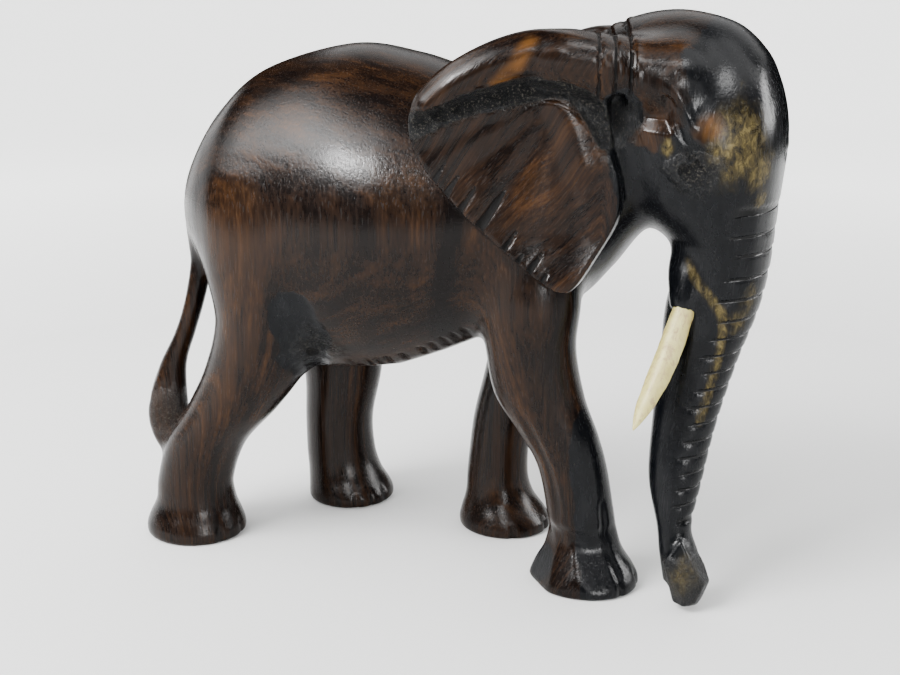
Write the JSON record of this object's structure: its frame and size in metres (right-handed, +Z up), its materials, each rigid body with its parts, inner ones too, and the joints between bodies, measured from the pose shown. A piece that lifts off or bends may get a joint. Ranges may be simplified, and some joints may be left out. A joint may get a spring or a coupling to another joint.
{
  "type": "carved wooden elephant",
  "caption": "Walking elephant figurine carved from one block of dark hardwood, with swept-back ears, a lowered trunk and two inset tusks. It stands on four flat soles.",
  "frame": {"origin": "centre of the bounding box at the level of the soles", "axes": "+X from the tail to the forehead, +Y to the elephant's left, +Z up"},
  "size_m": [0.136, 0.065, 0.114],
  "materials": {
    "dark_hardwood": "waxed and polished",
    "bone": "satin"
  },
  "bodies": {
    "root": {"carved_body": "dark_hardwood", "tusk_right": "bone", "tusk_left": "bone"}
  },
  "joints": []
}
